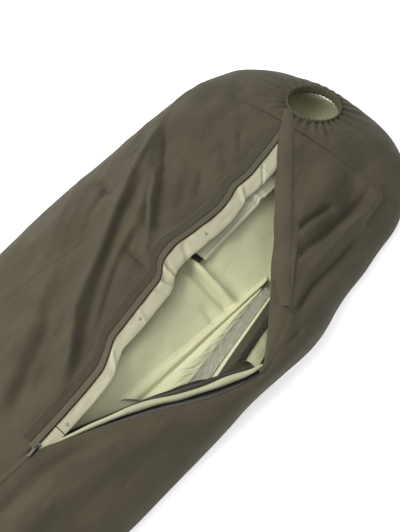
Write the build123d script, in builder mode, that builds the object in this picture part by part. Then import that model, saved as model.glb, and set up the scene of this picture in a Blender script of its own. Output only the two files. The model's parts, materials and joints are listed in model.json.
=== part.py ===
"""Bivy sack: a sleeping-bag cover of laminate cloth, lying open on the ground.

The foot is at -X and the hood at +X. The sack rests on its floor panel at Z 0. Millimetres.
A long zip runs straight along the crest, from zip_foot to zip_head.
The cloth on its +Y side stays beside it. The cloth on its -Y side is pulled away,
past lip_bend to lip_corner, so that the mouth is a long triangle.
Edges that face each other are named by side: LEFT is +Y and RIGHT is -Y.
"""

import os
from math import cos, radians, sin

from build123d import *

# Cloth, tapes and gaps
cloth = 2.0  # panel solids, which stand for a thin laminate and its seam allowances
tape_thick = 0.8
strip_thick = 1.2
seam_allowance = 12.0  # the floor panel runs this far past the wall seams
clear = 0.3  # least gap between pieces that move past each other

# Plan and height of the sack
foot_x = -1125.0
head_x = 1125.0
foot_half_width = 260.0
hip_half_width = 415.0
lip_half_width = 450.0
shoulder_half_width = 432.0
crest_height = 150.0
foot_height = 105.0
wall_bulge = 0.13  # how far a wall arc stands out, as a share of its chord

# Mouth: the zip line on the left, and the two points that the right edge passes
zip_foot = Vector(-440, -135, crest_height)
zip_head = Vector(830, 8, crest_height)
lip_corner = Vector(120, -428, 88)
lip_bend = Vector(300, -372, 112)
foot_seam = Vector(foot_x + cloth, -70, foot_height)
placket_fall = 0.105  # slope of the flat cloth beside the zip, falling away from it
left_placket = 95.0
right_placket = 90.0
corner_placket = 24.0
bend_placket = 62.0

# Zip fastener
coil_width = 3.4  # one half of the chain
coil_height = 2.6
tape_width = 17.0
panel_edge = 7.0  # from the middle of the chain to the edge of a panel
lip_start = 26.0  # the right half leaves the slider this far from zip_foot
stop_length = 5.0
stop_width = 9.0
seam_tape_half = 15.0
top_stop_gap = 140.0  # the chain ends this far short of zip_head, where the slit is sewn shut
slider_half_width = 5.6
slider_plate = 1.5
slider_length = 17.0

# Slider pull
bail_width = 2.4
bail_bar = 1.4
bail_height = 6.2
bail_length = 8.0
pull_length = 34.0
pull_width = 8.0
pull_thick = 1.8
pull_corner = 2.2
pull_bar = 2.0

# Flaps and their fastenings
loop_strip_start = 20.0
loop_strip_width = 30.0
storm_root = 13.0  # from the right edge of the mouth to the line that the storm flap turns about
storm_width = 61.0
storm_level = 3.6
storm_from_head = 70.0
binding_gap = 1.5
binding_width = 9.0
storm_from_bend = 14.0
hook_width = 20.0
hook_edge_margin = 4.0
hook_length = 62.0
hook_count = 5
flap_gap = 7.5  # the inner flap turns about a line this far inside the zip
flap_width = 46.0
flap_level = -4.5
flap_droop = 20.0
flap_from_foot = 84.0
flap_moving_to = 190.0  # short of zip_head: past this the storm flap holds the inner flap down
flap_from_head = 95.0
flap_cut = 4.0

# Press studs on the inner flap, with sockets under the right edge
stud_count = 4
stud_first = 96.0  # from zip_foot
stud_last = 126.0  # short of zip_head
stud_from_hinge = 27.0
stud_radius = 4.8
stud_dome = 1.2
post_radius = 1.8
post_height = 2.2
socket_radius = 5.2
socket_height = 2.4
socket_from_edge = 26.0

# Edge that is turned into the mouth, with its facing, hook band and seam tape
turned_from = lip_corner + Vector(-130, 60, -30)
turned_to = lip_bend + Vector(30, 20, -48)
turned_fall = 0.18
turned_start = -14.0
turned_width = 150.0
hook_band_width = 21.0
facing_width = 60.0
seam_tape_start = 69.0
seam_tape_width = 30.0

# Pocket and label inside the mouth
pocket_from = 745.0
pocket_length = 390.0
pocket_start = 14.0
pocket_width = 66.0
pocket_level = -24.0
label_length = 28.0
label_width = 24.0
label_hidden = 8.0  # how much of the label is under the pocket strip
label_from_edge = 22.0

# Hood and face opening
hood_stations = (  # x, half width and height
    (head_x - 125.0, 362.0, 132.0),
    (head_x - 37.0, 245.0, 92.0),
    (head_x - cloth, 140.0, 48.0))
hood_crest_share = 0.22
face_from_zip = 135.0
face_sink = 1.7  # how far the opening's middle lies below the hood's crest line
face_tilt = 0.21  # fall of the face opening's plane towards the head end
face_radius = 92.0
hem_wall = 7.0
hem_below = 26.0
hem_above = 9.0
eyelet_angle = 14.0
eyelet_bore = 2.5
eyelet_wall = 1.2
eyelet_flange = 5.5
eyelet_flange_thick = 0.8
eyelet_seat = 0.25  # the flat flange stands this far off the round wall

# Peg loops of webbing
loop_length = 46.0
loop_width = 24.0
loop_webbing = 2.2
loop_height = 12.0
foot_loop_x = foot_x + 75.0
head_loop_x = head_x - 125.0

LEFT, RIGHT = 1, -1
zip_length = (zip_head - zip_foot).length
zip_direction = (zip_head - zip_foot).normalized()
chain_length = zip_length - top_stop_gap


def floor_half_width(x):
    """Half the width of the floor panel at that x."""
    for (x0, y0), (x1, y1) in zip(plan, plan[1:]):
        if x0 <= x <= x1:
            return y0 + (y1 - y0) * (x - x0) / (x1 - x0) + seam_allowance
    raise ValueError(x)


def between(start, end, x):
    """The point at that x on the line from start to end."""
    return start + (end - start) * ((x - start.X) / (end.X - start.X))


def along(start, end, side, fall=placket_fall):
    """A plane across the line from start to end: its x runs outward in the cloth, its y up from it."""
    run = (end - start).normalized()
    slope = Vector(0, side, -fall)
    out = (slope - run * slope.dot(run)).normalized()
    return Plane(origin=start, x_dir=out, z_dir=run)


def strip(plane, length, x0, x1, y0, y1):
    """A straight flat strip: a rectangle across the plane, carried along its normal."""
    with BuildPart() as piece:
        with BuildSketch(plane):
            with Locations(((x0 + x1) / 2, (y0 + y1) / 2)):
                Rectangle(x1 - x0, y1 - y0)
        extrude(amount=length)
    return piece.part


def keep(name, part):
    """Labels a finished piece and writes it."""
    part.label = name
    export_step(part, f"parts/{name}.step")


def wall_arc(placket, seam, side, inset):
    """Three points of a wall's arc, from the placket's edge to the floor seam, moved in by inset."""
    chord = seam - placket
    out = Vector(0, -side * chord.Z, side * chord.Y).normalized()
    middle = (placket + seam) * 0.5 + out * (wall_bulge * chord.length - inset)
    return placket - Vector(0, 0, inset), middle, seam - Vector(0, side * inset, 0)


def panel_section(edge_point, gap, width, half_width, side):
    """Outline of a top panel's cloth on one YZ plane: the flat placket, then the wall's arc."""
    edge = edge_point + Vector(0, side * gap, -placket_fall * gap + cloth)
    placket = edge_point + Vector(0, side * width, -placket_fall * width + cloth)
    seam = Vector(edge_point.X, side * half_width, 0)
    outer = wall_arc(placket, seam, side, 0)
    inner = wall_arc(placket, seam, side, cloth)
    with BuildSketch(Plane.YZ.offset(edge_point.X)) as outline:
        with BuildLine():
            Line((edge.Y, edge.Z), (placket.Y, placket.Z))
            ThreePointArc(*[(point.Y, point.Z) for point in outer])
            Line((outer[2].Y, outer[2].Z), (inner[2].Y, inner[2].Z))
            ThreePointArc(*[(point.Y, point.Z) for point in reversed(inner)])
            Line((inner[0].Y, inner[0].Z), (edge.Y, edge.Z - cloth))
            Line((edge.Y, edge.Z - cloth), (edge.Y, edge.Z))
        make_face()
    return outline.sketch


def top_panel(name, stations, side):
    """One half of the sack's top, from the zip or the lip down to the floor seam."""
    with BuildPart() as panel:
        for edge_point, gap, width, half_width in stations:
            add(panel_section(edge_point, gap, width, half_width, side))
        loft(ruled=True)
        split(bisect_by=Plane.XY.offset(cloth), keep=Keep.TOP)
    keep(name, panel.part)


def arch(x, crest, height, left_placket_width, right_placket_width, half_width, inset):
    """Filled cross-section of the closed sack: two plackets, two wall arcs and a flat foot."""
    top = Vector(x, crest, height + cloth)
    left = top + Vector(0, left_placket_width, -placket_fall * left_placket_width)
    right = top + Vector(0, -right_placket_width, -placket_fall * right_placket_width)
    left_wall = wall_arc(left, Vector(x, half_width, 0), LEFT, inset)
    right_wall = wall_arc(right, Vector(x, -half_width, 0), RIGHT, inset)
    with BuildSketch(Plane.YZ.offset(x)) as face:
        with BuildLine():
            ThreePointArc(*[(point.Y, point.Z) for point in left_wall])
            Line((left_wall[2].Y, left_wall[2].Z), (right_wall[2].Y, right_wall[2].Z))
            ThreePointArc(*[(point.Y, point.Z) for point in reversed(right_wall)])
            Line((right_wall[0].Y, right_wall[0].Z), (top.Y, top.Z - inset))
            Line((top.Y, top.Z - inset), (left_wall[0].Y, left_wall[0].Z))
        make_face()
    return face.sketch


os.makedirs("parts", exist_ok=True)

# Top panels: stations at the foot, the zip's foot end, the lip's corner and bend, and the zip's head end
crest_corner = between(zip_foot, zip_head, lip_corner.X)
left_stations = [
    (foot_seam, 0, left_placket, foot_half_width),
    (zip_foot, panel_edge, left_placket, hip_half_width),
    (crest_corner, panel_edge, left_placket, lip_half_width),
    (zip_head, panel_edge, left_placket, shoulder_half_width),
]
right_stations = [
    (foot_seam, 0, right_placket, foot_half_width),
    (zip_foot, panel_edge, right_placket, hip_half_width),
    (lip_corner, panel_edge, corner_placket, lip_half_width),
    (lip_bend, panel_edge, bend_placket, lip_half_width),
    (zip_head, panel_edge, right_placket, shoulder_half_width),
]
top_panel("top_left_panel", left_stations, LEFT)
top_panel("top_right_panel", right_stations, RIGHT)

# Floor panel: one flat outline under everything, its allowance standing out past the wall seams
plan = [
    (foot_x, foot_half_width),
    (zip_foot.X, hip_half_width),
    (lip_corner.X, lip_half_width),
    (zip_head.X, shoulder_half_width),
    *[(x, half_width) for x, half_width, height in hood_stations[:-1]],
    (head_x, hood_stations[-1][1]),
]
with BuildPart() as floor_panel:
    with BuildSketch():
        with BuildLine():
            left_side = [(x, half_width + seam_allowance) for x, half_width in plan]
            right_side = [(x, -y) for x, y in reversed(left_side)]
            Polyline(*left_side, *right_side, close=True)
        make_face()
    extrude(amount=cloth)
keep("floor_panel", floor_panel.part)

# Foot panel: closes the foot end
foot_arch = arch(foot_x, foot_seam.Y, foot_height, left_placket, right_placket, foot_half_width, 0)
with BuildPart() as foot_panel:
    extrude(foot_arch.face(), amount=cloth, dir=(1, 0, 0))
    split(bisect_by=Plane.XY.offset(cloth), keep=Keep.TOP)
keep("foot_panel", foot_panel.part)


# Hood: a dome over the head end, with a round face opening in its top
def hood_solid(start_x, end_x, inset):
    """The hood as a filled solid between two stations, its faces moved in by inset."""
    with BuildPart() as solid:
        add(arch(start_x, zip_head.Y, crest_height, left_placket, right_placket,
                 shoulder_half_width, inset))
        for x, half_width, height in hood_stations:
            flat = hood_crest_share * half_width
            add(arch(min(x, end_x), zip_head.Y, height, flat, flat, half_width, inset))
        loft(ruled=True)
    return solid.part


first_station = Vector(hood_stations[0][0], zip_head.Y, hood_stations[0][2])
face_centre = between(zip_head, first_station, zip_head.X + face_from_zip) - Vector(0, 0, face_sink)
face_plane = Plane(origin=face_centre, x_dir=(1, 0, -face_tilt), z_dir=(face_tilt, 0, 1))
hem_outer = face_radius - clear
hem_inner = hem_outer - hem_wall
with BuildPart() as hood_panel:
    add(hood_solid(zip_head.X, head_x, 0))
    add(hood_solid(zip_head.X, head_x - 2 * cloth, cloth), mode=Mode.SUBTRACT)
    with BuildSketch(face_plane.offset(-hem_below)):
        Circle(face_radius)
    extrude(amount=2 * hem_below, mode=Mode.SUBTRACT)
    split(bisect_by=Plane.XY.offset(cloth), keep=Keep.TOP)
keep("hood_panel", hood_panel.part)


def eyelet_planes(depth):
    """Planes across the two ways out of the hem's channel, facing its outer wall from its inner one."""
    for angle in (180 - eyelet_angle, 180 + eyelet_angle):
        outward = face_plane.x_dir * cos(radians(angle)) + face_plane.y_dir * sin(radians(angle))
        yield Plane(origin=face_centre + outward * (hem_inner + depth), z_dir=outward)


# Hem round the face opening: a hollow channel for a drawcord, with two ways out towards the chin
with BuildPart() as hood_hem:
    with BuildSketch(face_plane.offset(-hem_below)):
        Circle(hem_outer)
        Circle(hem_inner, mode=Mode.SUBTRACT)
    extrude(amount=hem_below + hem_above)
    with BuildSketch(face_plane.offset(cloth - hem_below)):
        Circle(hem_outer - cloth)
        Circle(hem_inner + cloth, mode=Mode.SUBTRACT)
    extrude(amount=hem_below + hem_above - 2 * cloth, mode=Mode.SUBTRACT)
    for plane in eyelet_planes(-cloth):
        with BuildSketch(plane):
            Circle(eyelet_bore + eyelet_wall)
        extrude(amount=2 * cloth + clear, mode=Mode.SUBTRACT)
keep("hood_hem", hood_hem.part)

with BuildPart() as hood_eyelets:
    for plane in eyelet_planes(-eyelet_seat):
        with BuildSketch(plane):
            Circle(eyelet_bore + eyelet_wall - clear)
            Circle(eyelet_bore, mode=Mode.SUBTRACT)
        extrude(amount=cloth + eyelet_seat)
        with BuildSketch(plane.offset(-eyelet_flange_thick)):
            Circle(eyelet_flange)
            Circle(eyelet_bore, mode=Mode.SUBTRACT)
        extrude(amount=eyelet_flange_thick)
keep("hood_eyelets", hood_eyelets.part)

# Seam tape under the closed crest, from the foot panel to the zip
seam_direction = (zip_foot - foot_seam).normalized()
seam_start = foot_seam + seam_direction * cloth
seam_end = zip_foot - seam_direction * (stop_length + 4 * clear)
seam_run = (seam_end - seam_start).length
with BuildPart() as centre_seam_tape:
    add(strip(along(seam_start, seam_end, LEFT), seam_run, 0, seam_tape_half, -tape_thick, 0))
    add(strip(along(seam_end, seam_start, RIGHT), seam_run, 0, seam_tape_half, -tape_thick, 0))
keep("centre_seam_tape", centre_seam_tape.part)

# Zip, left half: a tape under the panel's edge, and half of the coil along it
left_rail = along(zip_foot, zip_head, LEFT)
tape_from = coil_width / 2 + clear
keep("zip_tape_left", strip(left_rail, zip_length, tape_from, tape_from + tape_width, -tape_thick, 0))
keep("loop_strip", strip(
    left_rail, zip_length, loop_strip_start, loop_strip_start + loop_strip_width,
    cloth, cloth + strip_thick))
chain_left_plane = left_rail.offset(stop_length)
coil_low, coil_high = -tape_thick / 2 - coil_height / 2, -tape_thick / 2 + coil_height / 2
keep("zip_chain_left", strip(
    chain_left_plane, chain_length - 2 * stop_length, -coil_width / 2, coil_width / 2,
    coil_low, coil_high))


# Zip, right half: the same pieces in three runs, round the corner and the bend of the lip
def lip_runs():
    """The three straight runs of the right edge, each as a plane across its start and a length."""
    start = zip_foot + (lip_corner - zip_foot).normalized() * lip_start
    points = [zip_head, lip_bend, lip_corner, start]
    for first, second in zip(points, points[1:]):
        yield along(first, second, RIGHT), (second - first).length


with BuildPart() as zip_tape_right:
    for number, (plane, length) in enumerate(lip_runs()):
        first_end = tape_from + tape_width if number == 0 else 0
        add(strip(plane.offset(first_end), length - first_end,
                  tape_from, tape_from + tape_width, -tape_thick, 0))
keep("zip_tape_right", zip_tape_right.part)

with BuildPart() as zip_chain_right:
    for number, (plane, length) in enumerate(lip_runs()):
        first_end = top_stop_gap if number == 0 else coil_width
        add(strip(plane.offset(first_end), length - first_end - coil_width,
                  -coil_width / 2, coil_width / 2, coil_low, coil_high))
keep("zip_chain_right", zip_chain_right.part)

# Stops: one across both tapes at the foot end, and one on each half at the head end
keep("zip_bottom_stop", strip(
    left_rail.offset(-stop_length - clear), stop_length, -stop_width / 2, stop_width / 2,
    coil_low, coil_high))
with BuildPart() as zip_top_stops:
    add(strip(left_rail.offset(chain_length - stop_length), stop_length,
              -coil_width / 2, coil_width / 2, coil_low - clear, coil_high + clear))
    right_plane = next(lip_runs())[0]
    add(strip(right_plane.offset(top_stop_gap - stop_length), stop_length,
              -coil_width / 2, coil_width / 2, coil_low - clear, coil_high + clear))
keep("zip_top_stops", zip_top_stops.part)

# Slider: two plates joined on the open side of the left coil, with a bail for the pull
slider_foot = left_rail.offset(stop_length)
plate_top = coil_high + clear
plate_bottom = coil_low - clear
bridge_out = -coil_width / 2 - clear
with BuildPart() as zip_slider:
    add(strip(slider_foot, slider_length, -slider_half_width, slider_half_width,
              plate_top, plate_top + slider_plate))
    add(strip(slider_foot, slider_length, -slider_half_width, slider_half_width,
              plate_bottom - slider_plate, plate_bottom))
    add(strip(slider_foot, slider_length, -slider_half_width, bridge_out,
              plate_bottom - slider_plate, plate_top + slider_plate))
    bail_foot = slider_foot.offset((slider_length - bail_length) / 2)
    bail_base = plate_top + slider_plate
    add(strip(bail_foot, bail_length, -bail_width / 2, bail_width / 2,
              bail_base, bail_base + bail_height))
    eye_height = bail_height - bail_bar
    add(strip(bail_foot.offset(bail_bar), bail_length - 2 * bail_bar, -bail_width, bail_width,
              bail_base, bail_base + eye_height), mode=Mode.SUBTRACT)
keep("zip_slider", zip_slider.part)

# Pull: a long flat tag whose ring passes through the bail and lies back towards the foot
pin_centre = bail_foot.offset(bail_length / 2).origin
ring_plane = Plane(
    origin=pin_centre + left_rail.y_dir * (bail_base + eye_height / 2 - pull_thick / 2),
    x_dir=-left_rail.z_dir, z_dir=left_rail.y_dir)
pull_gap = bail_width / 2 + 2 * clear
with BuildPart() as zip_pull:
    with BuildSketch(ring_plane):
        with Locations((pull_length / 2 - pull_bar / 2, 0)):
            RectangleRounded(pull_length, pull_width, pull_corner)
        with Locations((bail_length / 2 + pull_bar / 2, 0)):
            Rectangle(bail_length, 2 * pull_gap, mode=Mode.SUBTRACT)
    extrude(amount=pull_thick)
keep("zip_pull", zip_pull.part)

# Storm flap: sewn beside the right half of the zip, reaching over it to the loop strip
storm_line, storm_length = next(lip_runs())
storm_plane = storm_line.offset(storm_from_head)
flap_run = storm_length - storm_from_head - storm_from_bend
storm_edge = storm_root - storm_width
keep("storm_flap", strip(
    storm_plane, flap_run, storm_edge, storm_root, storm_level, storm_level + cloth))
keep("storm_flap_binding", strip(
    storm_plane, flap_run, storm_root + binding_gap, storm_root + binding_gap + binding_width,
    cloth, cloth + strip_thick))
with BuildPart() as storm_flap_hooks:
    pitch = (flap_run - hook_length) / (hook_count - 1)
    for number in range(hook_count):
        add(strip(storm_plane.offset(pitch * number), hook_length,
                  storm_edge + hook_edge_margin, storm_edge + hook_edge_margin + hook_width,
                  storm_level - strip_thick, storm_level))
keep("storm_flap_hooks", storm_flap_hooks.part)

# Inner flap: hangs from the left half of the zip into the mouth, with press studs along it
droop = Vector(0, -cos(radians(flap_droop)), -sin(radians(flap_droop)))
flap_out = (droop - zip_direction * droop.dot(zip_direction)).normalized()
flap_start = left_rail.offset(flap_from_foot).origin
flap_start += left_rail.y_dir * flap_level - left_rail.x_dir * flap_gap
flap_plane = Plane(origin=flap_start, x_dir=-flap_out, z_dir=zip_direction)
flap_moving_length = zip_length - flap_from_foot - flap_moving_to
flap_held_length = flap_moving_to - flap_cut - flap_from_head
keep("inner_flap", strip(flap_plane, flap_moving_length, -flap_width, 0, -cloth / 2, cloth / 2))
keep("inner_flap_head", strip(
    flap_plane.offset(flap_moving_length + flap_cut), flap_held_length, -flap_width, 0,
    -cloth / 2, cloth / 2))

stud_spacing = (zip_length - stud_first - stud_last) / (stud_count - 1)
stud_places = [stud_first + stud_spacing * number for number in range(stud_count)]
moving_studs = [place for place in stud_places if place < flap_from_foot + flap_moving_length]
held_studs = [place for place in stud_places if place not in moving_studs]


def stud_plane(distance):
    """A plane on the inner flap's middle, facing up, at that distance along the zip."""
    origin = flap_plane.offset(distance - flap_from_foot).origin - flap_plane.x_dir * stud_from_hinge
    return Plane(origin=origin, x_dir=zip_direction, z_dir=flap_plane.y_dir)


def caps(places):
    """Domed caps on the upper face of the inner flap."""
    with BuildPart() as piece:
        for distance in places:
            with BuildSketch(stud_plane(distance).offset(cloth / 2)):
                Circle(stud_radius)
            extrude(amount=stud_dome, taper=20)
    return piece.part


def posts(places):
    """Posts of the studs, under the flap."""
    with BuildPart() as piece:
        for distance in places:
            with BuildSketch(stud_plane(distance).offset(-cloth / 2)):
                Circle(post_radius)
            extrude(amount=-post_height)
    return piece.part


keep("stud_caps", caps(moving_studs))
keep("stud_posts", posts(moving_studs))
with BuildPart() as head_stud:
    add(caps(held_studs))
    add(posts(held_studs))
keep("head_stud", head_stud.part)


def socket_planes():
    """Planes under the right panel, facing down, where the studs close."""
    head_plane = next(lip_runs())[0]
    foot_plane, foot_length = list(lip_runs())[2]
    for distance in stud_places:
        if distance < zip_length / 2:
            across = foot_plane.offset(foot_length - distance)
        else:
            across = head_plane.offset(zip_length - distance)
        yield Plane(origin=across.origin + across.x_dir * socket_from_edge, x_dir=across.z_dir,
                    z_dir=-across.y_dir)


with BuildPart() as stud_sockets:
    for plane in socket_planes():
        with BuildSketch(plane):
            Circle(socket_radius)
            Circle(post_radius + clear, mode=Mode.SUBTRACT)
        extrude(amount=socket_height)
keep("stud_sockets", stud_sockets.part)

# Edge turned into the mouth: cloth, with a facing, a band of hooks and a sealed seam on it
turned_plane = along(turned_from, turned_to, LEFT, turned_fall)
turned_length = (turned_to - turned_from).length
keep("turned_edge", strip(
    turned_plane, turned_length, turned_start, turned_start + turned_width, -cloth, 0))
keep("turned_facing", strip(turned_plane, turned_length, 0, facing_width, 0, tape_thick))
keep("turned_hook_band", strip(
    turned_plane, turned_length, 0, hook_band_width, tape_thick, tape_thick + strip_thick))
keep("seam_tape", strip(
    turned_plane, turned_length, seam_tape_start, seam_tape_start + seam_tape_width, 0, tape_thick))

# Pocket strip, hung inside under the inner flap, with a woven label under its foot end
pocket_start_point = left_rail.offset(pocket_from).origin - left_rail.x_dir * pocket_start
pocket_plane = Plane(
    origin=pocket_start_point + left_rail.y_dir * pocket_level, x_dir=-flap_out, z_dir=zip_direction)
keep("pocket_strip", strip(pocket_plane, pocket_length, -pocket_width, 0, -cloth / 2, cloth / 2))
keep("label", strip(
    pocket_plane.offset(label_hidden - label_width), label_width,
    -label_from_edge - label_length, -label_from_edge, -cloth / 2 - tape_thick, -cloth / 2))

# Peg loops: bent webbing, standing out from the floor seam near the four corners
with BuildPart() as peg_loops:
    for x in (foot_loop_x, head_loop_x):
        for side in (LEFT, RIGHT):
            reach = max(floor_half_width(x - loop_width / 2), floor_half_width(x + loop_width / 2))
            reach += loop_length / 2
            with BuildSketch():
                with Locations(Pos(x, side * reach) * Rot(Z=90)):
                    SlotOverall(loop_length, loop_width)
                    SlotOverall(loop_length - 2 * loop_webbing, loop_width - 2 * loop_webbing,
                                mode=Mode.SUBTRACT)
            extrude(amount=loop_height)
keep("peg_loops", peg_loops.part)
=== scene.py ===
"""Bivy sack of olive laminate cloth, lying open on a pale floor with its zipped mouth pulled wide.

+X runs to the hood, +Y to the side where the zip stays on the crest, +Z up. Metres.
The cloth is olive outside and pale inside. LEFT is the +Y half of the top, RIGHT the -Y half.
"""

import json
import math
from functools import lru_cache

import bmesh
import bpy
from mathutils import Matrix, Vector, noise


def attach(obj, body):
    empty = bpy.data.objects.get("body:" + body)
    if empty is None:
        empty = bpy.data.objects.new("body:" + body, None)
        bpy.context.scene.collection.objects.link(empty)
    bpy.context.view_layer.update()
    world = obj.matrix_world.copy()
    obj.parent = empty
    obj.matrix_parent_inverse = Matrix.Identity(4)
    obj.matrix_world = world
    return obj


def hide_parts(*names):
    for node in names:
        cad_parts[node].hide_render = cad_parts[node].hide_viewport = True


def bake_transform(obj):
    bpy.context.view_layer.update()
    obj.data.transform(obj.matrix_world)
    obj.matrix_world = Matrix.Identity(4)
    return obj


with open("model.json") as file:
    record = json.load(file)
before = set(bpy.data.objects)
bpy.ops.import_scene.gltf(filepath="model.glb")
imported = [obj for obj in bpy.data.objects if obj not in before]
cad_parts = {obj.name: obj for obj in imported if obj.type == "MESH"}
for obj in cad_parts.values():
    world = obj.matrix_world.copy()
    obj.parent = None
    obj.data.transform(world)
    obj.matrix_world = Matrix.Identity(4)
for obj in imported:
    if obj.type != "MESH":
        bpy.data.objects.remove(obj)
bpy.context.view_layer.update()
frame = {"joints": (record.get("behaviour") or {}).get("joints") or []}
JOINTS = {joint["name"]: joint for joint in frame["joints"]}

# ---- sizes of the sack
ZIP_DIRECTION = Vector(JOINTS["zip_slide"]["axis"])
ZIP_FOOT = Vector((-0.44, -0.135, 0.15))
ZIP_HEAD = Vector((0.83, 0.008, 0.15))
LIP_BEND = Vector((0.3, -0.372, 0.112))
FOOT_CREST = Vector((-1.123, -0.07, 0.107))
PLAN = (  # half the floor's width along the sack
    (-1.125, 0.26), (-0.44, 0.415), (0.12, 0.45), (0.83, 0.432),
    (1.0, 0.362), (1.088, 0.245), (1.125, 0.14))
CLOTH = 0.0012
SKIN = 0.002  # the outer face stands this far above the zip's line
FOOT_END, HEAD_END = -1.123, 1.124
HOOD_SEAM = 0.83
ARCH_OUT, ARCH_UP = 0.95, 0.85  # powers that swell the top's round section

# ---- small tools


def within(t):
    """Keeps t from 0 to 1."""
    return min(1.0, max(0.0, t))


def smooth(t):
    """Eases from 0 to 1."""
    t = within(t)
    return t * t * (3 - 2 * t)


def mix(a, b, t):
    return a + (b - a) * t


def bump(x, centre, width):
    """A round hump of height 1."""
    return math.exp(-((x - centre) / width) ** 2)


def noise_at(*place):
    """Smooth noise at a place, from about -1 to 1."""
    return noise.noise(Vector(place))


def track(points, x):
    """Smooth value at x of a line through (x, value) points."""
    for (x0, y0), (x1, y1) in zip(points, points[1:]):
        if x <= x1:
            break
    return mix(y0, y1, within((x - x0) / (x1 - x0)))


def rounded(points, x, reach=0.05):
    """As track, with its corners rounded over reach."""
    steps = (-1.0, -0.6, -0.2, 0.2, 0.6, 1.0)
    return sum(track(points, x + reach * step) for step in steps) / len(steps)


@lru_cache(maxsize=None)
def half_width(x):
    return rounded(PLAN, x, 0.06 if x < 0.95 else 0.02)


@lru_cache(maxsize=None)
def right_half_width(x):
    """Half the width on the -Y side, where the slack wall swells out beside the mouth's corner."""
    swell = 0.026 * bump(x, 0.33, 0.15) - 0.006 * bump(x, 0.06, 0.1) + 0.006 * bump(x, 0.6, 0.08)
    return half_width(x) + swell


# ---- the two edges of the mouth


ZIP_WAVE = (  # how far the slack edge strays outward from the straight line of the zip
    (-0.44, 0.0), (-0.25, -0.012), (-0.165, -0.012), (-0.12, 0.002), (-0.08, 0.018), (0.13, 0.014),
    (0.152, 0.02), (0.172, 0.036), (0.2, 0.044), (0.25, 0.044), (0.31, 0.028), (0.38, 0.012),
    (0.44, 0.003), (0.49, 0.004), (0.53, 0.011), (0.565, 0.001), (0.6, -0.005), (0.75, -0.004), (0.83, 0.0))


@lru_cache(maxsize=None)
def zip_edge(x):
    if x < ZIP_FOOT.x:
        return FOOT_CREST.lerp(ZIP_FOOT, (x - FOOT_CREST.x) / (ZIP_FOOT.x - FOOT_CREST.x)).freeze()
    point = ZIP_FOOT.lerp(ZIP_HEAD, (x - ZIP_FOOT.x) / (ZIP_HEAD.x - ZIP_FOOT.x))
    point.y += rounded(ZIP_WAVE, x, 0.012)
    slack = smooth((x - ZIP_FOOT.x) / 0.1) * smooth((ZIP_HEAD.x - x) / 0.2)
    point.z += (0.003 * math.sin(x * 23) + 0.012 * bump(x, 0.21, 0.11) - 0.01 * bump(x, -0.19, 0.08)) * slack
    return point.freeze()


def zip_point(x):
    """The middle of the left half of the zip at that x."""
    return zip_edge(x).copy()


LIP_Y = (
    (-1.123, -0.07), (-0.44, -0.135), (-0.3, -0.208), (-0.16, -0.29), (-0.03, -0.378), (0.045, -0.41),
    (0.12, -0.436), (0.3, -0.376), (0.83, 0.008))
LIP_Z = (
    (-1.123, 0.107), (-0.44, 0.15), (-0.2, 0.122), (-0.05, 0.104), (0.12, 0.084), (0.3, 0.11), (0.83, 0.15))


@lru_cache(maxsize=None)
def lip_edge(x):
    return Vector((x, rounded(LIP_Y, x, 0.03), rounded(LIP_Z, x, 0.035))).freeze()


def lip_point(x):
    """The right edge of the mouth at that x."""
    return lip_edge(x).copy()


def mouth_edge(x):
    """The visible right edge of the mouth: the storm flap's free edge, then the turned cloth down to the corner."""
    y = rounded(((-0.44, -0.135), (0.12, -0.43), (0.225, -0.366), (0.3, -0.316), (0.748, -0.003)), x, 0.02)
    z = rounded(((-0.44, 0.15), (0.12, 0.092), (0.3, 0.119), (0.748, 0.1535)), x, 0.02)
    return Vector((x, y, z))


# ---- folds of the outer cloth
# Each fold: points on the plan from foot to head, height, width on its +Y side and on its -Y side, all in
# millimetres, then its sharpness.


def in_metres(folds):
    return tuple(
        (tuple((x / 1000, y / 1000) for x, y in points), height / 1000, wide_left / 1000, wide_right / 1000, sharp)
        for points, height, wide_left, wide_right, sharp in folds)


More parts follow.
